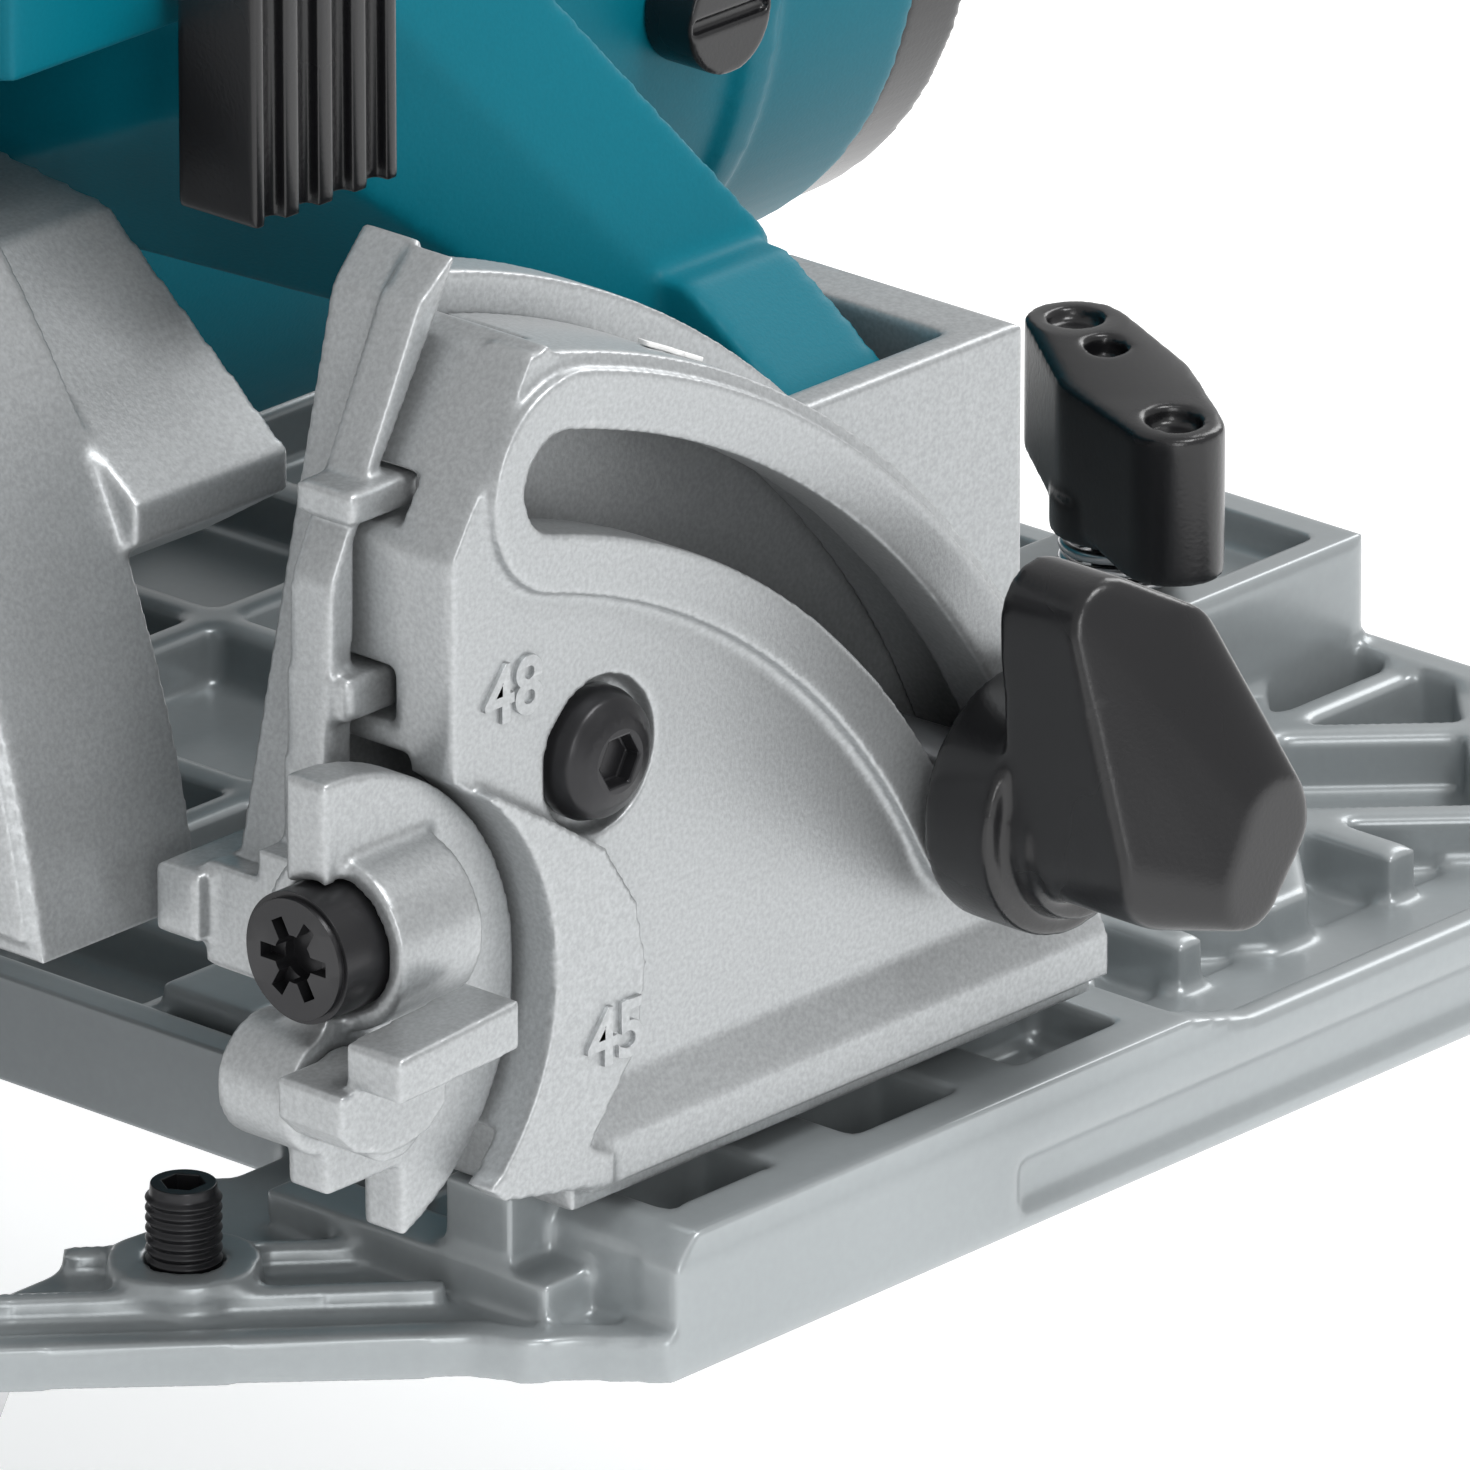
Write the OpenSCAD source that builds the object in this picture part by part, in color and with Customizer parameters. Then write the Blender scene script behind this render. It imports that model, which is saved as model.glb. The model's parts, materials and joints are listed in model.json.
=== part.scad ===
// Right-hand sidewinder circular saw on a cast base with a front bevel quadrant.
// Origin: bevel axis on the sole plane, at the front face of the quadrant.
// +Z up, -Y is the cutting direction, +X is the motor side. Millimetres.

/* [Base] */
// Base edge on the motor side
base_r = 214; // [205:1:225]
// Base edge on the blade side
base_l = 36; // [34:1:40]
// Rear end of the base
base_rear = 330; // [324:1:345]
// Height of the base's outer rim
rim_h = 12; // [9:0.5:14]

/* [Quadrant] */
// Outer radius of the bevel quadrant
quad_r = 113; // [111:0.5:114]
// Slot centre radius
slot_r = 100; // [99:0.5:101]
// Slot width
slot_w = 10.6; // [9.5:0.1:11]

/* [Blade] */
// Blade radius
blade_r = 108; // [104:0.5:108]
// Number of blade teeth
blade_teeth = 40; // [24:2:48]

/* [Motor] */
// Motor housing radius
motor_r = 48; // [47:0.5:49]
// Motor side end of the housing
motor_end = 212; // [205:1:214]

/* [Hidden] */
$fn = 64;
aY = 161; aZ = 32;      // arbor
mY = 165; mZ = 80;      // motor axis
hY = 34;  hZ = 72;      // depth hinge
gm = 1.5; zg = 32; zi = 16; zp = 9;
rg = gm*zg/2; ri = gm*zi/2; rp = gm*zp/2;
d_am = sqrt(pow(mY-aY,2)+pow(mZ-aZ,2));
d_ai = rg+ri; d_im = ri+rp;
th_am = atan2(mZ-aZ, mY-aY);
al_a = acos((d_ai*d_ai+d_am*d_am-d_im*d_im)/(2*d_ai*d_am));
iY = aY + d_ai*cos(th_am+al_a); iZ = aZ + d_ai*sin(th_am+al_a);
th_ai = atan2(iZ-aZ, iY-aY);
th_im = atan2(mZ-iZ, mY-iY);
ph_g = th_ai;
ph_i = th_ai + 180 + 180/zi;
k_i  = (th_im - ph_i)*zi/360;
ph_p = th_im + 180 + 180/zp + (k_i - floor(k_i))*360/zp;

// cylinder along X from x0 to x1 at (y,z)
module cx(y,z,x0,x1,r,f=64){ translate([x0,y,z]) rotate([0,90,0]) cylinder(r=r,h=x1-x0,$fn=f); }
// cylinder along Y
module cy(x,z,y0,y1,r,f=64){ translate([x,y1,z]) rotate([90,0,0]) cylinder(r=r,h=y1-y0,$fn=f); }
module cz(x,y,z0,z1,r,f=64){ translate([x,y,z0]) cylinder(r=r,h=z1-z0,$fn=f); }
module bx(x0,x1,y0,y1,z0,z1){ translate([x0,y0,z0]) cube([x1-x0,y1-y0,z1-z0]); }
// 2D profile drawn as (x,z), extruded from y0 to y1
module ey(y0,y1){ translate([0,y1,0]) rotate([90,0,0]) linear_extrude(y1-y0) children(); }
// 2D profile drawn as (y,z), extruded from x0 to x1
module ex(x0,x1){ translate([x0,0,0]) rotate([90,0,90]) linear_extrude(x1-x0) children(); }
function arcp(r,a0,a1,n,cx=0,cy=0) = [for(i=[0:n]) [cx+r*cos(a0+(a1-a0)*i/n), cy+r*sin(a0+(a1-a0)*i/n)]];
module sector2(r0,r1,a0,a1,n=24,cx=0,cy=0){ polygon(concat(arcp(r1,a0,a1,n,cx,cy), r0==0 ? [[cx,cy]] : arcp(r0,a1,a0,n,cx,cy))); }
// arc slot with round ends
module slot2(r,w,a0,a1){ sector2(r-w/2,r+w/2,a0,a1,32); for(a=[a0,a1]) translate([r*cos(a),r*sin(a)]) circle(w/2,$fn=32); }
module gear2(z,m,ph){
  r=m*z/2; rot=ph;
  rotate(rot) union(){ circle(r-1.45,$fn=z*2);
    for(i=[0:z-1]) rotate(i*360/z) polygon([[r-1.9,-1.25],[r,-0.85],[r+0.95,-0.4],[r+0.95,0.4],[r,0.85],[r-1.9,1.25]]); }
}

// ---------------------------------------------------------------- base
module base_outline(){ polygon([[-base_l,57],[-16,39],[19,6],[21,1],[25,-2],[31,-10],[base_r-6,-10],[base_r,-4],[base_r,base_rear-8],[base_r-8,base_rear],[-base_l+6,base_rear],[-base_l,base_rear-6]]); }
module base_inner(){ polygon([[-base_l+4,59.5],[-13.5,42],[22.5,8],[24,3.5],[28,0.5],[33.5,-6],[base_r-7,-6],[base_r-4,-3],[base_r-4,base_rear-10],[base_r-10,base_rear-4],[-base_l+7,base_rear-4],[-base_l+4,base_rear-7]]); }
module opening2(){ polygon([[-21,64],[-15,54],[-8,50],[20,50],[24,53],[26,58],[31,58],[34,54],[42,54],[44,57],[44,294],[-21,294]]); }
module base_plate(){ color([0.70,0.71,0.72]) difference(){
  union(){
    linear_extrude(4) difference(){ base_outline(); opening2(); }
    linear_extrude(5) difference(){ base_outline(); base_inner(); }
    // outer rim, motor side, front and rear
    difference(){ linear_extrude(rim_h) difference(){ base_outline(); base_inner(); } bx(-50,7,-20,340,5,30); bx(-50,32,-20,34,5,30); }
    // wall along the opening
    bx(44,48,50,base_rear-2,0,rim_h);
    bx(-17,48,294,298,0,rim_h);
    // front block with pockets
    difference(){ ey(-9.6,14) polygon([[32.3,1],[base_r-9,1],[base_r-9,12.7],[121,12.7],[111,15.3],[35,15.3],[32.3,12.7]]);
      bx(38,54,-3,7.6,6,30); bx(65,81,-4,7.6,4.6,30); bx(90,106,-4,7.6,10,30); bx(112.5,base_r-15,-5.6,20,5.2,30); }
    // rib grid
    for(x=[66,100,134,168]) bx(x,x+4,12,base_rear-4,0,rim_h-1);
    for(y=[44,78,112,150,190,230,270,304]) bx(44,base_r-4,y,y+4,0,rim_h-1);
    intersection(){ linear_extrude(rim_h-1) polygon([[104,12],[base_r-4,12],[base_r-4,150],[104,150]]);
      union(){ for(k=[-1:4]) translate([118+k*34,12,0]) rotate([0,0,45]) translate([0,-2,0]) cube([60,4,rim_h-1]);
               for(k=[-1:4]) translate([118+k*34,12,0]) rotate([0,0,135]) translate([0,-2,0]) cube([60,4,rim_h-1]); } }
    // raised fence housing
    bx(150,212,53,79,1,24);
    // set screw boss, ribs and pads on the blade side of the front
    cz(8.7,36.5,1,8,8);
    translate([8.7,36.5,1]) rotate([0,0,-43]) { translate([-31,-7,0]) cube([27,2.4,6]); translate([4,-7,0]) cube([22,2.4,6]); translate([-12,4.6,0]) cube([8,2.4,6]); translate([4,4.6,0]) cube([18,2.4,6]); }
    bx(25.5,33,2.3,41,1,9); bx(30,47,36.3,40.2,1,8.5);
    bx(50,64,65,79,1,14);
    bx(-30,-27,70,100,1,5);
    // seat for the quadrant
    bx(26.4,109,8,17,1,17);
    // seat for the rear quadrant
    bx(2,58,296,307,0,12);
  }
  cz(8.7,36.5,-1,30,4.05);
  cz(183.5,63,12,40,3.55);
  // slot for a rip fence bar
  bx(140,base_r+2,59,73,12.5,17.5);
  bx(191,208,57,75,19.5,30);
  // shallow recess in the outer face
  bx(84,base_r-12,-12,-8.8,2.2,8);
} }

module quadrant(){ color([0.76,0.77,0.78]) difference(){
  union(){
    // front plate with the arc rim
    ey(0,6) difference(){
      polygon(concat([[35,38]],[[31,30]],[[26,27]],[[27,17.2]],[[106,17.2]],[[106,34]],arcp(quad_r,22,79,40),[[9.6,92],[9.6,70]],arcp(27.6,55,-38,16,-6,46)));
      slot2(slot_r,slot_w,27,76); }
    // raised rim round the slot
    ey(-1.6,0.5) difference(){ slot2(slot_r,23,27.5,75); slot2(slot_r,slot_w,27,76); }
    // top wall
    ey(0,17) sector2(quad_r-5,quad_r,22,76,40);
    // side wall on the blade side
    ey(0,17) polygon([[9.6,70],[14.6,71.5],[14.6,91],[27,107],[24,111.3],[21,110],[9.6,92]]);
    // end wall on the motor side
    bx(100,106,0,17,17.2,42);
    // foot and ledge
    difference(){ ex(27,106) polygon([[-2.5,20],[-2.5,24.8],[0.3,31],[17,31],[17,17.2],[8.2,17.2],[8.2,20]]); bx(30,97,9.5,18,21,40); }
    ey(-3.1,0.4) polygon([[11.8,25.6],[13.8,23.4],[30,20.2],[30,23.5],[20,28.5]]);
    // crescent step that carries the stop marks
    ey(-3,0.5) polygon(concat(arcp(27.6,50,-50,20,-6,46),[[17.8,22.8],[27,26],[33.5,34],[35,43],[33.5,50],[29,57],[20,63],[13,67.4]]));
  }
  // notches for the guide tabs
  bx(5,19,8,17.1,93.5,98.5); bx(5,17,8,17.1,73,79);
  // counterbore and hole
  cy(31.2,65.6,-2,2.2,8.2); cy(31.2,65.6,-5,20,4.25);
  // engraved scale lines on the top wall
  for(a=[30:5:75]) rotate([0,-a,0]) bx(quad_r-0.7,quad_r+2,4,(a%15==0)?14:10,-0.35,0.35);
} }
module quadrant_bolt(){ color([0.1,0.1,0.1]) difference(){ union(){ translate([31.2,2.1,65.6]) rotate([90,0,0]) rotate_extrude() polygon([[0,0],[7,0],[7,1.4],[6.3,3.4],[4.6,4.6],[3.4,4.9],[0,4.9]]); cy(31.2,65.6,2.1,15,4.2,32); translate([31.2,15,65.6]) rotate([90,0,0]) cylinder(r=7.3,h=6,$fn=6); }
  translate([31.2,-5,65.6]) rotate([-90,0,0]) cylinder(r=2.9,h=4,$fn=6); } }
module set_screw(){ color([0.08,0.08,0.08]) difference(){ translate([8.7,36.5,0]) rotate_extrude($fn=32) polygon(concat([[0,1],[4,1]],[for(i=[0:12]) each [[4,1.4+i*1.1],[3.5,1.9+i*1.1]]],[[3.4,16.2],[0,16.2]]));
  translate([8.7,36.5,13]) cylinder(r=2.3,h=8,$fn=6); } }
module fence_spring(){ color([0.75,0.75,0.75]) for(i=[0:3]) translate([183.5,63,25.0+i*1.0]) rotate_extrude($fn=32) translate([6.2,0]) circle(0.7,$fn=16); }
module rear_quadrant(){ color([0.76,0.77,0.78]) ey(298,304) difference(){
  union(){ polygon([[4,12.1],[56,12.1],[58,34],[48,52],[30,61],[10,62],[-6,60],[-9,46],[4,30]]); }
  slot2(50,6.6,40,90); } }
module fence_wing_screw(){ color([0.05,0.05,0.05]) translate([183.5,63,0]) rotate([0,0,-25]) difference(){ union(){
   cz(0,0,17.7,32,3.5,32); cz(0,0,30.4,35,8,32);
   hull(){ cz(0,0,33,48,7.5,32); cz(0,13,35,50,5.5,32); }
   hull(){ cz(0,0,33,48,7.5,32); cz(0,-13,30,47,5.5,32); } }
   cz(0,13,48.5,52,3,32); cz(0,5,47,52,2.2,32); cz(0,-13,45.5,49,3,32); } }

// ---------------------------------------------------------------- tilting guide
module angular_guide(){ color([0.74,0.75,0.76]) difference(){
  union(){
    // plate behind the quadrant
    ey(17.5,25) polygon(concat([[4.8,56],[0,57],[0,46],[14,38],[30,30],[32,19],[110,19]],[[110,44]],arcp(117,22,77,24),[[24,118.5],[19,113]]));
    // blade-side flange along the edge
    ey(12,17.6) polygon([[3,55],[7.4,55],[8.6,92],[20.5,112],[24,118.5],[18,114],[5,88]]);
    // tabs in the notches
    bx(6,16,10,17.6,94.2,97.8); bx(5,13,10,17.6,73.7,78.3);
    // disc in the concave arc
    difference(){ cy(-6,46,2,7.5,26.9,96); bx(-40,-7,1,9,0,90); bx(-8,4,1,9,0,29); }
    cy(-6,40,2,11.9,6.6);
    // boss for the limit screw
    cx(3.5,55,-4,8,9.3,48); bx(0,7,3.5,17.6,47,60);
    // lower web going back
    bx(-2,33,24,30,48.5,56);
    // box with hinge cheeks
    bx(78,84,17.5,50,30,80); bx(108,115,17.5,50,30,84); bx(78,115,17.5,22,19,84); bx(78,115,17.5,50,19,40);
  }
  cx(3.5,55,-6,9,4.05,48); cx(3.5,55,-14,-2.4,7.2,48);
  // opening for the clamp bolt
  cy(slot_r*cos(27.5),slot_r*sin(27.5),10,30,4.05,48);
  cy(slot_r*cos(27.5),slot_r*sin(27.5),25,52,8,48);
  // hinge bore and room for the hinge barrel
  cx(hY,hZ,70,120,5.0,64);
  cx(hY,hZ,86.5,105.5,12.3,64);
  bx(80,85,44,51,78.5,85);
  // seat for the positive stop pivot
  cy(-6,40,1,12,4.05,48);
} }
module limit_screw(){ color([0.05,0.05,0.05]) difference(){ union(){ cx(3.5,55,-4.5,6,4.0,48); cx(3.5,55,-9.4,-2.5,6.9,48); cx(3.5,55,-10,-9.3,6.3,48); }
  for(a=[0,60,120]) translate([-11,3.5,55]) rotate([a,0,0]) bx(0,2.6,-4.4,4.4,-0.8,0.8); cx(3.5,55,-11,-7.2,2.5,32); } }
module clamp_bolt(){ color([0.6,0.6,0.62]) union(){ cy(slot_r*cos(27.5),slot_r*sin(27.5),-26,28.4,4.0,48); translate([slot_r*cos(27.5),31.2,slot_r*sin(27.5)]) rotate([90,0,0]) cylinder(r=7,h=6,$fn=6);
  cy(slot_r*cos(27.5),slot_r*sin(27.5),-3.6,-1.9,8.5,48); } }
module hinge_pin(){ color([0.6,0.6,0.62]) union(){ cx(hY,hZ,76,116,4.95,64); cx(hY,hZ,73.5,76.1,7,48); cx(hY,hZ,115.2,117,7,48);} }
module depth_guide(){ color([0.45,0.46,0.48]) union(){
  translate([12.5,0,0]) rotate([90,0,90]) linear_extrude(3.5) translate([hY,hZ]) difference(){ sector2(225,249,-11.5,31,30); slot2(237,6.8,-6,26); }
  difference(){ bx(12.5,48,276,297.5,18,44); cy(50*cos(40),50*sin(40),270,300,3.25,48); bx(16.1,31,270,288,28,50); }
 } }
module rear_bolt(){ color([0.6,0.6,0.62]) union(){ cy(50*cos(40),50*sin(40),275.5,310,3.2,48); cy(50*cos(40),50*sin(40),304.4,309,6.5,48); translate([50*cos(40),276,50*sin(40)]) rotate([90,0,0]) cylinder(r=6,h=4.5,$fn=6);} }
module bevel_knob(){ kx=slot_r*cos(27.5); kz=slot_r*sin(27.5); color([0.05,0.05,0.05]) difference(){ union(){
   cy(kx,kz,-13,-4,13.5,48);
   cy(kx,kz,-16,-12.9,11,48);
   hull(){ cy(kx-5.5,kz+23.5,-22,-12,5.5,32); cy(kx+1.5,kz+20,-26,-12.5,5,32); cy(kx+6,kz+2,-35,-19,5.2,32); cy(kx-4,kz-1,-29,-13,6.5,32); cy(kx+2.5,kz-3.5,-35,-20,4.6,32); } }
   cy(kx,kz,-26.3,-3,4.05,48); } }
module positive_stop(){ color([0.74,0.75,0.76]) union(){ cy(-6,40,1.6,11.5,4.0,48); cy(-6,40,-6.6,1.7,5,48);
   ey(-13.6,-6.2) polygon([[-12.9,44.8],[4.6,45.6],[4.6,50.8],[-12.9,49.6]]);
   bx(-12,0,-7.4,-6.3,44,46);
   ey(-7.5,1.2) polygon([[-15,44.6],[0.5,44.6],[0.5,39.5],[-2,37.4],[-5,36.7],[-8,36.6],[-12.5,38],[-15,40.5]]); } }

// ---------------------------------------------------------------- saw body
module blade_case(){ color([0.76,0.77,0.78]) difference(){ union(){
   // drum shell, open at the bottom
   difference(){ cx(aY,aZ,-15,8,129,128); cx(aY,aZ,-13,5.5,126.2,128);
     bx(-12.9,9,aY-140,aY+140,aZ-140,aZ+16); bx(-20,-12.8,aY-140,aY+140,aZ-140,aZ-3); ex(-20,-12.8) polygon([[aY-140,aZ+16],[aY-60,aZ+16],[aY-34,aZ-4],[aY-34,aZ-60],[aY-140,aZ-60]]); }
   // ridge on the outer face
   difference(){ cx(aY,aZ,-16.5,-14.5,128,128); cx(aY,aZ,-18,-14,119,128); bx(-20,-12,aY-140,aY+140,aZ-140,aZ+18); }
   // gear side disc round the spindle
   cx(aY,aZ,5.5,8,30);
   // triangular fin at the front
   ex(7.5,30) polygon([[41,84],[41,88],[66,108.5],[84,111],[84,74],[52,77]]);
  }
  cx(aY,aZ,-20,-12.5,24);
  cx(aY,aZ,0,10,19.05);
  // bolt hole for the depth clamp
  cx(hY+237*cos(-6),hZ+237*sin(-6),4,9,3.2,32);
} }
module gear_housing(){ color([0.5,0.51,0.53]) difference(){ union(){
   hull(){ cx(aY,aZ,8,27,27.5,32); cx(mY,mZ,8,30,40,32); }
   cx(mY,mZ,8,34,44); 
   cx(aY,aZ,3.3,10,18.95); }
  hull(){ cx(aY,aZ,10.5,24,26,32); cx(iY,iZ,10.5,24,15,32); cx(mY,mZ,10.5,24,12,32); }
  cx(aY,aZ,0,30,11.02); cx(mY,mZ,20,40,13.02); cx(iY,iZ,9,26,3.98,32); 
  cx(mY,mZ,33,40,42.5); } }
module motor_housing(){ color([0.0,0.45,0.52]) difference(){ union(){
   cx(mY,mZ,34,motor_end,motor_r);
   // collar ring
   cx(mY,mZ,183,188,motor_r+1.2);
   // front arm down to the hinge
   hull(){ bx(40,62,60,112,118,146); bx(36,70,100,130,100,118); bx(88,106,44,54,78,90); }
   hull(){ cx(hY,hZ,88,104,11.5,32); bx(88,104,40,56,76,90); }
   // shoulder over the gear housing
   hull(){ bx(10,60,60,120,128,146); bx(10,60,110,190,126,140); bx(34,60,150,190,100,120);} }
  cx(mY,mZ,33,motor_end+1,44.0);
  cx(hY,hZ,80,112,5.01); 
  cx(86,134,9.9,30,5,32);
  cx(mY,mZ,5,34,44.1);
  cy(37,136,57,75,5.3,32); bx(25,50,50,58,108,144);
  // vents
  for(a=[20:16:164]) translate([0,mY,mZ]) rotate([a,0,0]) bx(52,66,40,60,-1.6,1.6); } }
module end_cover(){ color([0.06,0.06,0.06]) difference(){ union(){ cx(mY,mZ,motor_end,motor_end+10,motor_r-1); cx(mY,mZ,motor_end-6,motor_end+1,43.9); }
   cx(mY,mZ,motor_end-8,motor_end+7,40); 
   for(k=[-3:3]) bx(motor_end+5,motor_end+12,mY-26,mY+26,mZ+k*9-1.6,mZ+k*9+1.6); }
   difference(){ cx(mY,mZ,motor_end-4,motor_end+8,11); cx(mY,mZ,motor_end-5,motor_end+2,8.02);} }
function hp() = [[178,147],[208,170],[242,176],[277,163],[300,132],[297,99],[268,78],[205,77]];
module handle2(off){ p=hp(); for(i=[0:6]) hull(){ translate(p[i]) circle(off,$fn=32); translate(p[i+1]) circle(off,$fn=32); } }
module handle_half(x0,x1){ difference(){ translate([x0,0,0]) rotate([90,0,90]) linear_extrude(x1-x0) handle2(16);
   cx(mY,mZ,x0-1,x1+1,motor_r+0.1,64); bx(x0-1,x1+1,110,190,70,146.1);
   // switch cavity
   bx(34,54,208,250,150,168); bx(36,52,212,236,120,151); cz(44,256,160,200,5.2,48); 
   cx(256,165,34,54,7,32); } }
module handle_left(){ color([0.0,0.42,0.49]) handle_half(24,43.9); }
module handle_right(){ color([0.05,0.05,0.05]) handle_half(44.1,64); }
module front_grip(){ color([0.05,0.05,0.05]) difference(){ union(){ hull(){ cx(84,160.5,20,100,13,32); cx(78,164,26,94,12,32);} bx(26,56,72,96,146,156); }
   for(k=[0:7]) bx(32+k*8,33.5+k*8,60,66.5,150,180); } }
module stator(){ color([0.4,0.38,0.36]) difference(){ cx(mY,mZ,80,140,43.8); cx(mY,mZ,79,141,27.5); 
   for(a=[0,90,180,270]) translate([0,mY,mZ]) rotate([a,0,0]) bx(78,142,42,46,-3,3);} }
module brush_holders(){ color([0.7,0.55,0.2]) for(s=[-1,1]) difference(){ bx(166,180,mY+s*30-13.5,mY+s*30+13.5,mZ-5,mZ+5); bx(168.9,177.1,mY+s*30-14,mY+s*30+14,mZ-3.1,mZ+3.1);} }
module brushes(){ color([0.2,0.2,0.2]) for(s=[-1,1]) bx(169,177,mY+s*22-6.8,mY+s*22+6.8,mZ-3,mZ+3); }
module brush_caps(){ color([0.04,0.04,0.04]) for(s=[-1,1]) difference(){ cy(173,mZ,mY+s*51.6-3.5,mY+s*51.6+3.5,6.5,32); bx(167,179,mY+s*55.1-1,mY+s*55.1+1,mZ-0.8,mZ+0.8);} }
module ring_b(y,z,x0,x1,ro,ri){ difference(){ cx(y,z,x0,x1,ro,48); cx(y,z,x0-1,x1+1,ri,48);} }
module bearings(){ color([0.65,0.66,0.68]) { ring_b(mY,mZ,26,33,13,5.05); ring_b(mY,mZ,motor_end-4,motor_end+2,8,4.05); ring_b(aY,aZ,24.5,27,11,5.05); ring_b(aY,aZ,6.6,10.4,11,8.05);} }
module idler_shaft(){ color([0.6,0.6,0.62]) cx(iY,iZ,9,26,3.97,32); }
module switch_box(){ color([0.1,0.1,0.1]) bx(34.5,53.5,208.5,249.5,154,167.5); }
module cord_inlet(){ color([0.05,0.05,0.05]) difference(){ translate([44,313,93.9]) rotate([-112,0,0]) union(){ cylinder(r=7.5,h=8); translate([0,0,7.9]) cylinder(r1=6.5,r2=5,h=20);} translate([44,313,93.9]) rotate([-112,0,0]) translate([0,0,4]) cylinder(r=4.0,h=40,$fn=48); } }
module case_screws(){ color([0.55,0.55,0.57]) for(p=[[232,72],[276,164],[298,112]]) translate([64.1,p[0],p[1]]) rotate([0,90,0]) difference(){ rotate_extrude($fn=32) polygon([[0,0],[4,0],[3.6,1.6],[2,2.4],[0,2.4]]); translate([-2.4,-0.4,1.6]) cube([4.8,0.8,2]); translate([-0.4,-2.4,1.6]) cube([0.8,4.8,2]);} }
dbY = hY+237*cos(-6); dbZ = hZ+237*sin(-6);
module depth_bolt(){ color([0.6,0.6,0.62]) union(){ cx(dbY,dbZ,5.5,30,3.15,32); } }
module depth_lever(){ color([0.05,0.05,0.05]) difference(){ union(){ cx(dbY,dbZ,17,27,9,32); hull(){ cx(dbY,dbZ,20,27,7,32); cx(dbY-34,dbZ-6,22,30,5,32);} } cx(dbY,dbZ,10,40,3.2,32);} }

// ---------------------------------------------------------------- blade and gears
module saw_blade(){ color([0.78,0.78,0.8]) difference(){ ex(-3,-1) difference(){ polygon([for(i=[0:blade_teeth-1]) each [[aY+(blade_r-7)*cos(i*360/blade_teeth),aZ+(blade_r-7)*sin(i*360/blade_teeth)],[aY+blade_r*cos((i+0.25)*360/blade_teeth),aZ+blade_r*sin((i+0.25)*360/blade_teeth)],[aY+(blade_r-2.4)*cos((i+0.75)*360/blade_teeth),aZ+(blade_r-2.4)*sin((i+0.75)*360/blade_teeth)]]]);
   for(a=[20:72:360]) translate([aY,aZ]) rotate(a) { translate([blade_r-16,-0.7]) square([14,1.4]); translate([blade_r-17,0]) circle(2.4,$fn=24);} }
   cx(aY,aZ,-5,2,8.0); } }
module spindle(){ color([0.62,0.62,0.64]) difference(){ union(){ cx(aY,aZ,-3,12.2,8.0,48); cx(aY,aZ,12.2,27,5.0,48); } cx(aY,aZ,-4,9,3.5,32);} }
module drive_gear(){ color([0.5,0.5,0.5]) difference(){ translate([12.3,aY,aZ]) rotate([90,0,90]) linear_extrude(9) gear2(zg,gm,ph_g); cx(aY,aZ,11,23,5.0,48); for(a=[0:60:300]) translate([0,aY,aZ]) rotate([a,0,0]) cx(0,14,11,23,3,24);} }
module idler_gear(){ color([0.5,0.5,0.5]) difference(){ translate([12.3,iY,iZ]) rotate([90,0,90]) linear_extrude(9) gear2(zi,gm,ph_i); cx(iY,iZ,11,23,4.03,48);} }
module armature_shaft(){ color([0.62,0.62,0.64]) union(){ cx(mY,mZ,21.4,motor_end-5,5.0,48); cx(mY,mZ,motor_end-5.1,motor_end+1.5,4.0,48); translate([12.3,mY,mZ]) rotate([90,0,90]) linear_extrude(9.2) gear2(zp,gm,ph_p); } }
module inner_flange(){ color([0.45,0.45,0.47]) difference(){ cx(aY,aZ,-1,3,18,64); cx(aY,aZ,-2,4,8.0,48);} }
module outer_flange(){ color([0.45,0.45,0.47]) difference(){ cx(aY,aZ,-6.5,-3,20,64); cx(aY,aZ,-8,-2,4.05,48);} }
module blade_bolt(){ color([0.35,0.35,0.37]) difference(){ union(){ cx(aY,aZ,-6.5,8.9,3.48,32); cx(aY,aZ,-8,-6.5,10,48); translate([-12.5,aY,aZ]) rotate([0,90,0]) cylinder(r=7.5,h=4.6,$fn=6);} } }
module armature_core(){ color([0.35,0.33,0.3]) difference(){ cx(mY,mZ,84,136,26.8); cx(mY,mZ,80,140,5.0,48); for(a=[0:30:330]) translate([0,mY,mZ]) rotate([a,0,0]) bx(83,137,22,28,-1.2,1.2);} }
module commutator(){ color([0.75,0.45,0.2]) difference(){ cx(mY,mZ,158,184,14.8); cx(mY,mZ,157,185,5.0,48); for(a=[0:15:345]) translate([0,mY,mZ]) rotate([a,0,0]) bx(157,185,14,16,-0.3,0.3);} }
module fan(){ color([0.1,0.1,0.1]) difference(){ union(){ cx(mY,mZ,50,53,40); cx(mY,mZ,50,66,9); for(a=[0:30:330]) translate([0,mY,mZ]) rotate([a,0,0]) bx(52.5,66,8,39.5,-1,1);} cx(mY,mZ,49,67,5.0,48);} }
module lower_guard(){ color([0.72,0.73,0.74]) union(){
   ex(-9.8,-8.6) difference(){ sector2(22,112.5,198,352,48,aY,aZ); sector2(40,100,345,360,8,aY,aZ); }
   ex(-9.8,-8.6) difference(){ translate([aY,aZ]) circle(32); translate([aY,aZ]) circle(22);}
   ex(-9.8,4.6) sector2(110.5,112.5,198,352,48,aY,aZ);
   ex(3.5,4.7) sector2(60,112.5,198,352,48,aY,aZ);
   difference(){ cx(aY,aZ,3.5,4.7,61,96); cx(aY,aZ,3,5.2,19.02,96);} } }
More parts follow.
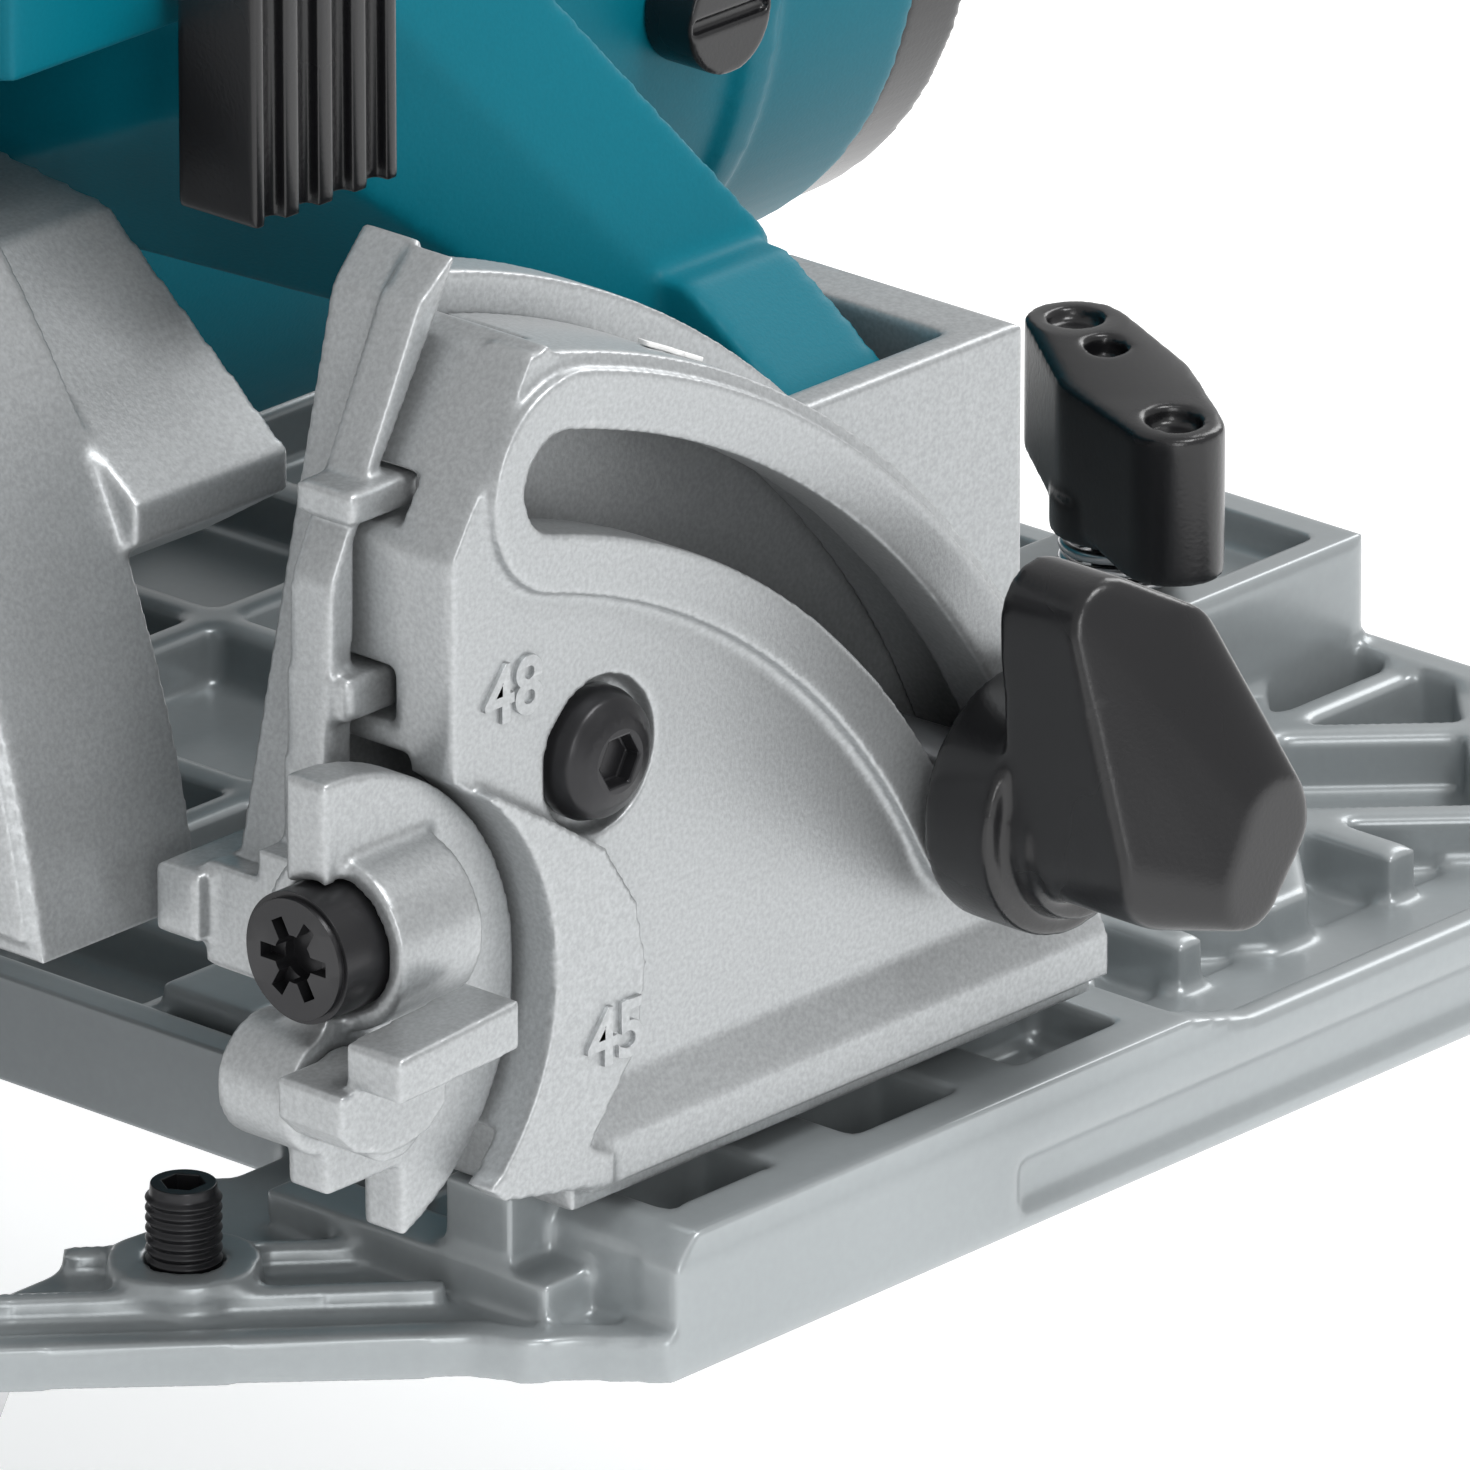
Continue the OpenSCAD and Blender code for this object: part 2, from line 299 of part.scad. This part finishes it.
module guard_lever(){ color([0.05,0.05,0.05]) translate([0,aY,aZ]) rotate([-110,0,0]) union(){ bx(-12.4,-9.9,40,96,-9,-1); bx(-19,-12.3,82,96,-8,-2); } }
module trigger(){ color([0.04,0.04,0.04]) ex(37,51) polygon([[214,150],[234,150.5],[235,139],[232,133],[224,130],[214,128.5]]); }
module lock_button(){ color([0.04,0.04,0.04]) union(){ cz(44,256,172.5,194,5.0,48); } }
module shaft_lock(){ color([0.06,0.06,0.06]) union(){ difference(){ bx(27,48,42.5,53.5,112,140); for(k=[0:3]) bx(28.6+k*5,31.4+k*5,40,44.2,111,141);} cy(37,136,53.4,62,5,32); } }

base_plate();
quadrant();
quadrant_bolt();
set_screw();
fence_spring();
rear_quadrant();
fence_wing_screw();
angular_guide();
limit_screw();
clamp_bolt();
hinge_pin();
depth_guide();
rear_bolt();
bevel_knob();
positive_stop();
blade_case();
gear_housing();
motor_housing();
end_cover();
handle_left();
handle_right();
front_grip();
stator();
brush_holders();
brushes();
brush_caps();
bearings();
idler_shaft();
switch_box();
cord_inlet();
case_screws();
depth_bolt();
depth_lever();
saw_blade();
spindle();
drive_gear();
inner_flange();
outer_flange();
blade_bolt();
idler_gear();
armature_shaft();
armature_core();
commutator();
fan();
lower_guard();
guard_lever();
trigger();
lock_button();
shaft_lock();
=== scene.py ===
import json, math
import bpy, bmesh
from mathutils import Vector, Matrix


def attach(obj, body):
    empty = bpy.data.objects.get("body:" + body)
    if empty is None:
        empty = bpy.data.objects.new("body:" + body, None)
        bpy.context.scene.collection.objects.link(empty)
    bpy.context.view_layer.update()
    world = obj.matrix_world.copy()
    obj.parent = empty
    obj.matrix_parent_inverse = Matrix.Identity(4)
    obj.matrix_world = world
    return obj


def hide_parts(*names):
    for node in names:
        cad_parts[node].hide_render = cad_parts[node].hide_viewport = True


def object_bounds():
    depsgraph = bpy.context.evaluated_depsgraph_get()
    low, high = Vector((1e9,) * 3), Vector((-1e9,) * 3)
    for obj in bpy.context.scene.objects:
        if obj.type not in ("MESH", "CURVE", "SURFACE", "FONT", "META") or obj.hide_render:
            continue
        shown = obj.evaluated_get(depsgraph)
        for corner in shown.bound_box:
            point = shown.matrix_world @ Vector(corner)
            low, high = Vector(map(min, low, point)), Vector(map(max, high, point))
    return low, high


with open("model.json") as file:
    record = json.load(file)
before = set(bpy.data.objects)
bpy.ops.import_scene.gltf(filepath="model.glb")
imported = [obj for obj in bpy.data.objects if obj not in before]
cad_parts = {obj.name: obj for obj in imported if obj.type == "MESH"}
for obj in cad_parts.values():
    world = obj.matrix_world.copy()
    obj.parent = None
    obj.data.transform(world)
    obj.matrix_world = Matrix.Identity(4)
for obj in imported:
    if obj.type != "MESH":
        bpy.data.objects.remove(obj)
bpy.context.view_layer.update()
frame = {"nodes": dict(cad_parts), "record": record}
N = frame["nodes"]
scene = bpy.context.scene
MM = 0.001

# ------------------------------------------------------------------ camera
AZ, EL, DIST = math.radians(-48.0), math.radians(21.5), 2.2
R = Vector((math.cos(AZ), math.sin(AZ), 0))
F = Vector((-math.sin(AZ) * math.cos(EL), math.cos(AZ) * math.cos(EL), -math.sin(EL)))
U = R.cross(F)
target = R * 0.0344 + U * 0.0715
cam_data = bpy.data.cameras.new("camera")
cam = bpy.data.objects.new("camera", cam_data)
scene.collection.objects.link(cam)
cam_data.sensor_width = 36.0
cam_data.lens = 539.0
cam_data.clip_start = 0.1
cam_data.clip_end = 20.0
cam.location = target - F * DIST
cam.rotation_euler = F.to_track_quat("-Z", "Y").to_euler()
scene.camera = cam
scene.view_settings.view_transform = "Standard"

# ------------------------------------------------------------------ materials
def material(name, color, metallic=0.0, rough=0.5, grain=1400.0, bump=0.15, dist=0.0001,
             spread=0.06, rough_spread=0.1, fleck=0.0, edge_highlight=0.25, coat=0.0, stretch=None):
    m = bpy.data.materials.new(name)
    m.use_nodes = True
    nt = m.node_tree
    p = nt.nodes["Principled BSDF"]
    p.inputs["Metallic"].default_value = metallic
    p.inputs["Coat Weight"].default_value = coat
    p.inputs["Coat Roughness"].default_value = 0.15
    tc = nt.nodes.new("ShaderNodeTexCoord")
    src = tc.outputs["Object"]
    if stretch:
        mp = nt.nodes.new("ShaderNodeMapping")
        mp.inputs["Scale"].default_value = stretch
        nt.links.new(src, mp.inputs["Vector"]); src = mp.outputs["Vector"]
    fine = nt.nodes.new("ShaderNodeTexNoise")
    fine.inputs["Scale"].default_value = grain
    fine.inputs["Detail"].default_value = 3.0
    nt.links.new(src, fine.inputs["Vector"])
    big = nt.nodes.new("ShaderNodeTexNoise")
    big.inputs["Scale"].default_value = 22.0
    big.inputs["Detail"].default_value = 4.0
    nt.links.new(src, big.inputs["Vector"])
    ramp = nt.nodes.new("ShaderNodeValToRGB")
    c = Vector(color)
    ramp.color_ramp.elements[0].position = 0.3
    ramp.color_ramp.elements[1].position = 0.7
    ramp.color_ramp.elements[0].color = (*(c * (1 - spread)), 1)
    ramp.color_ramp.elements[1].color = (*(c * (1 + spread)), 1)
    nt.links.new(big.outputs["Fac"], ramp.inputs["Fac"])
    out = ramp.outputs["Color"]
    if fleck > 0:
        fr = nt.nodes.new("ShaderNodeValToRGB")
        fr.color_ramp.elements[0].position = 0.35
        fr.color_ramp.elements[1].position = 0.72
        fr.color_ramp.elements[0].color = (1 - fleck, 1 - fleck, 1 - fleck, 1)
        fr.color_ramp.elements[1].color = (1 + fleck, 1 + fleck, 1 + fleck, 1)
        nt.links.new(fine.outputs["Fac"], fr.inputs["Fac"])
        mx = nt.nodes.new("ShaderNodeMix"); mx.data_type = "RGBA"; mx.blend_type = "MULTIPLY"
        mx.inputs["Factor"].default_value = 1.0
        nt.links.new(out, mx.inputs[6]); nt.links.new(fr.outputs["Color"], mx.inputs[7])
        out = mx.outputs[2]
    # painted highlight: convex edges (high pointiness) get a lighter base colour, standing in for light catching the
    # edges
    if edge_highlight > 0:
        geo = nt.nodes.new("ShaderNodeNewGeometry")
        edge_highlight_ramp = nt.nodes.new("ShaderNodeValToRGB")
        edge_highlight_ramp.color_ramp.elements[0].position = 0.50
        edge_highlight_ramp.color_ramp.elements[1].position = 0.60
        edge_highlight_ramp.color_ramp.elements[0].color = (0, 0, 0, 1)
        edge_highlight_ramp.color_ramp.elements[1].color = (edge_highlight, edge_highlight, edge_highlight, 1)
        nt.links.new(geo.outputs["Pointiness"], edge_highlight_ramp.inputs["Fac"])
        mx = nt.nodes.new("ShaderNodeMix"); mx.data_type = "RGBA"; mx.blend_type = "ADD"
        mx.inputs["Factor"].default_value = 0.5
        nt.links.new(out, mx.inputs[6]); nt.links.new(edge_highlight_ramp.outputs["Color"], mx.inputs[7])
        out = mx.outputs[2]
    nt.links.new(out, p.inputs["Base Color"])
    rr = nt.nodes.new("ShaderNodeMapRange")
    rr.inputs["To Min"].default_value = rough - rough_spread
    rr.inputs["To Max"].default_value = rough + rough_spread
    nt.links.new(big.outputs["Fac"], rr.inputs["Value"])
    nt.links.new(rr.outputs["Result"], p.inputs["Roughness"])
    b = nt.nodes.new("ShaderNodeBump")
    b.inputs["Strength"].default_value = bump
    b.inputs["Distance"].default_value = dist
    nt.links.new(fine.outputs["Fac"], b.inputs["Height"])
    nt.links.new(b.outputs["Normal"], p.inputs["Normal"])
    return m

# the last number in each row is the strength of the painted edge highlight
M = {
    "cast": material("cast_silver", (0.385, 0.40, 0.408), 0.65, 0.40, 1900, 0.28, 0.0001, 0.05, 0.06, 0.11, 0.16),
    "base": material("cast_grey", (0.30, 0.325, 0.335), 0.35, 0.32, 900, 0.08, 0.0001, 0.03, 0.05, 0.02, 0.16),
    "teal": material("teal_plastic", (0.0, 0.138, 0.190), 0.0, 0.46, 2200, 0.25, 0.00008, 0.04, 0.06, 0.03, 0.01),
    "black": material("black_plastic", (0.006, 0.006, 0.007), 0.0, 0.27, 2000, 0.25, 0.00008, 0.15, 0.08, 0.0, 0.012),
    "bolt": material("black_oxide", (0.018, 0.018, 0.020), 0.5, 0.33, 1200, 0.2, 0.00006, 0.2, 0.08, 0.0, 0.03),
    "steel": material("machined_steel", (0.56, 0.56, 0.57), 1.0, 0.28, 500, 0.2, 0.00005, 0.05, 0.08, 0.0, 0.05, stretch=(6, 1, 1)),
    "sheet": material("rolled_steel", (0.60, 0.60, 0.61), 1.0, 0.32, 300, 0.15, 0.00005, 0.05, 0.08, 0.0, 0.05, stretch=(1, 1, 12)),
    "copper": material("copper", (0.75, 0.36, 0.18), 1.0, 0.3, 900, 0.2, 0.00005, 0.1, 0.08),
    "carbon": material("carbon", (0.03, 0.03, 0.032), 0.1, 0.6, 1800, 0.3, 0.0001, 0.2, 0.08),
    "paint": material("white_paint", (0.85, 0.85, 0.84), 0.0, 0.5, 1500, 0.2, 0.00005, 0.03, 0.05),
    "rubber": material("soft_grip", (0.008, 0.008, 0.009), 0.0, 0.62, 2600, 0.6, 0.00015, 0.2, 0.06),
    "red": material("pointer_paint", (0.45, 0.02, 0.02), 0.0, 0.45, 1500, 0.2, 0.00005, 0.05, 0.05),
}
M["teal"].node_tree.nodes["Principled BSDF"].inputs["Specular IOR Level"].default_value = 0.14
SLOT = {"cast_silver": "cast", "cast_grey": "base", "teal": "teal", "black_plastic": "black", "black_steel": "bolt",
        "steel": "steel", "plate_steel": "sheet", "copper": "copper", "carbon": "carbon"}
slot_of = {s["node"]: s["material_slot"] for s in frame["record"]["subparts"]}
for n, o in N.items():
    m = M[SLOT[slot_of[n]]]
    if n in ("front_grip", "handle_right"):
        m = M["rubber"]
    if not o.material_slots:
        o.data.materials.append(m)
    for ms in o.material_slots:
        ms.material = m

# ------------------------------------------------------------------ rounded castings and mouldings
def cast(n, voxel, it, factor=0.5, sub=0):
    o = N[n]
    r = o.modifiers.new("cast", "REMESH"); r.mode = "VOXEL"; r.voxel_size = voxel * MM; r.use_smooth_shade = True
    s = o.modifiers.new("fillet", "SMOOTH"); s.factor = factor; s.iterations = it
def edge(n, w, seg=2, ang=32):
    o = N[n]
    wd = o.modifiers.new("weld", "WELD"); wd.merge_threshold = 2e-6
    d = o.modifiers.new("flat", "DECIMATE"); d.decimate_type = "DISSOLVE"; d.angle_limit = math.radians(0.6)
    b = o.modifiers.new("edge", "BEVEL"); b.width = w * MM; b.segments = seg; b.limit_method = "ANGLE"; b.angle_limit = math.radians(ang)
    b.harden_normals = False
    b.use_clamp_overlap = True
    t = o.modifiers.new("tri", "TRIANGULATE")
    wn = o.modifiers.new("normals", "WEIGHTED_NORMAL"); wn.keep_sharp = True
    for p in o.data.polygons: pass
quick_scale = 1.0
CASTS = {"quadrant": (0.5, 5), "angular_guide": (0.55, 5), "positive_stop": (0.35, 7), "base_plate": (0.8, 4),
         "motor_housing": (0.8, 8), "gear_housing": (0.8, 5), "bevel_knob": (0.45, 16), "fence_wing_screw": (0.45, 12),
         "shaft_lock": (0.35, 7), "front_grip": (0.6, 10), "handle_left": (0.8, 14), "handle_right": (0.8, 14),
         "rear_quadrant": (0.5, 5), "depth_lever": (0.45, 10), "trigger": (0.4, 12), "end_cover": (0.6, 6),
         "blade_case": (0.6, 4), "guard_lever": (0.35, 8), "lock_button": (0.3, 8), "brush_caps": (0.3, 4)}
for n, (v, it) in CASTS.items():
    cast(n, v, it)
for n, o in N.items():
    if n in CASTS:
        continue
    edge(n, 0.25)

# ------------------------------------------------------------------ pieces made in mesh code
def add(name, bm, mat, body, smooth=True):
    me = bpy.data.meshes.new(name)
    bm.to_mesh(me); bm.free()
    o = bpy.data.objects.new(name, me)
    scene.collection.objects.link(o)
    me.materials.append(mat)
    if smooth:
        for p in me.polygons: p.use_smooth = True
    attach(o, body)
    return o

def tube(points, r, sides=12, closed=False):
    """Mesh tube along points, with flat ends."""
    bm = bmesh.new(); rings = []
    n = len(points)
    prev = Vector((0, 0, 1))
    for i, p in enumerate(points):
        a = points[max(i - 1, 0)]; b = points[min(i + 1, n - 1)]
        t = (b - a).normalized()
        u = prev.cross(t)
        if u.length < 1e-4: u = Vector((1, 0, 0)).cross(t)
        u.normalize(); v = t.cross(u)
        rings.append([bm.verts.new(p + (u * math.cos(2 * math.pi * k / sides) + v * math.sin(2 * math.pi * k / sides)) * r) for k in range(sides)])
    for i in range(n - 1):
        for k in range(sides):
            bm.faces.new((rings[i][k], rings[i][(k + 1) % sides], rings[i + 1][(k + 1) % sides], rings[i + 1][k]))
    bm.faces.new(list(reversed(rings[0]))); bm.faces.new(rings[-1])
    bmesh.ops.recalc_face_normals(bm, faces=bm.faces)
    return bm

# fence screw spring: a true helix in place of the ring stack
c = Vector((0.1835, 0.063, 0))
pts = []
turns, z0, z1 = 3.0, 0.0249, 0.0298
for i in range(161):
    t = i / 160
    a = 2 * math.pi * turns * t
    e = min(t, 1 - t) / 0.12
    e = max(0.0, min(1.0, e))
    pts.append(c + Vector((math.cos(a) * 0.0064, math.sin(a) * 0.0064, z0 + (z1 - z0) * t)))
sp = add("fence_coil_spring", tube(pts, 0.00065, 12), M["steel"], "base")
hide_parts("fence_spring")

# raised and painted scale numbers
def number(name, text, size, mat, body, origin, right, up, depth=0.0004):
    cu = bpy.data.curves.new(name, "FONT")
    cu.body = text; cu.size = size; cu.extrude = depth; cu.align_x = "CENTER"; cu.align_y = "CENTER"
    cu.bevel_depth = 0.00008; cu.offset = 0.00012
    tmp = bpy.data.objects.new(name + "_tmp", cu)
    scene.collection.objects.link(tmp)
    dg = bpy.context.evaluated_depsgraph_get()
    me = bpy.data.meshes.new_from_object(tmp.evaluated_get(dg))
    bpy.data.objects.remove(tmp)
    me.name = name
    right = Vector(right).normalized(); up = Vector(up).normalized(); nrm = right.cross(up)
    mt = Matrix((( right.x, up.x, nrm.x, origin[0]), (right.y, up.y, nrm.y, origin[1]), (right.z, up.z, nrm.z, origin[2]), (0, 0, 0, 1)))
    me.transform(mt)
    me.materials.clear(); me.materials.append(mat)
    o = bpy.data.objects.new(name, me)
    scene.collection.objects.link(o)
    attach(o, body)
    return o
for nm, tx, x, z, y in (("stop_mark_a", "48", 18.3, 76.0, -0.05), ("stop_mark_b", "45", 30.0, 36.5, -3.05)):
    o = number(nm, tx, 0.0085, M["cast"], "base", (x * MM, y * MM, z * MM), (1, 0, 0), (0, 0, 1), 0.00035)
for nm, tx, a in (("scale_mark_a", "45", 64.5), ("scale_mark_b", "30", 49), ("scale_mark_c", "15", 33.5)):
    ar = math.radians(a)
    o = number(nm, tx, 0.0078, M["paint"], "base", (113.3 * math.cos(ar) * MM, 0.0065, 113.3 * math.sin(ar) * MM),
               (math.sin(ar), 0, -math.cos(ar)), (0, 1, 0), 0.00015)

# ------------------------------------------------------------------ floor and light
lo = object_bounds()[0]
bm = bmesh.new()
s = 6.0
vs = [bm.verts.new((x, y, float(lo[2]) - 0.0005)) for x, y in ((-s, -s), (s, -s), (s, s), (-s, s))]
bm.faces.new(vs)
me = bpy.data.meshes.new("floor"); bm.to_mesh(me); bm.free()
floor = bpy.data.objects.new("floor", me); scene.collection.objects.link(floor)
me.materials.append(material("floor_white", (0.93, 0.93, 0.93), 0, 0.6, 200, 0.02, 0.00005, 0.01, 0.02, 0, 0))
fp = next(n for n in me.materials[0].node_tree.nodes if n.type == "BSDF_PRINCIPLED")
fp.inputs["Emission Color"].default_value = (1, 1, 1, 1)
fp.inputs["Emission Strength"].default_value = 0.42

w = bpy.data.worlds.new("world"); scene.world = w; w.use_nodes = True
w.node_tree.nodes["Background"].inputs["Color"].default_value = (1, 1, 1, 1)
w.node_tree.nodes["Background"].inputs["Strength"].default_value = 0.62
def area(name, loc, size, power, look=(0.04, 0.05, 0.06)):
    l = bpy.data.lights.new(name, "AREA"); l.shape = "RECTANGLE"; l.size = size[0]; l.size_y = size[1]; l.energy = power
    o = bpy.data.objects.new(name, l); scene.collection.objects.link(o)
    o.location = loc
    o.rotation_euler = (Vector(look) - Vector(loc)).to_track_quat("-Z", "Y").to_euler()
area("key", (0.25, -0.8, 1.5), (0.8, 0.5), 16)
area("side", (-0.9, -1.3, 0.6), (0.3, 0.9), 6.5)
area("rim", (1.3, 0.3, 0.9), (0.5, 0.9), 7)
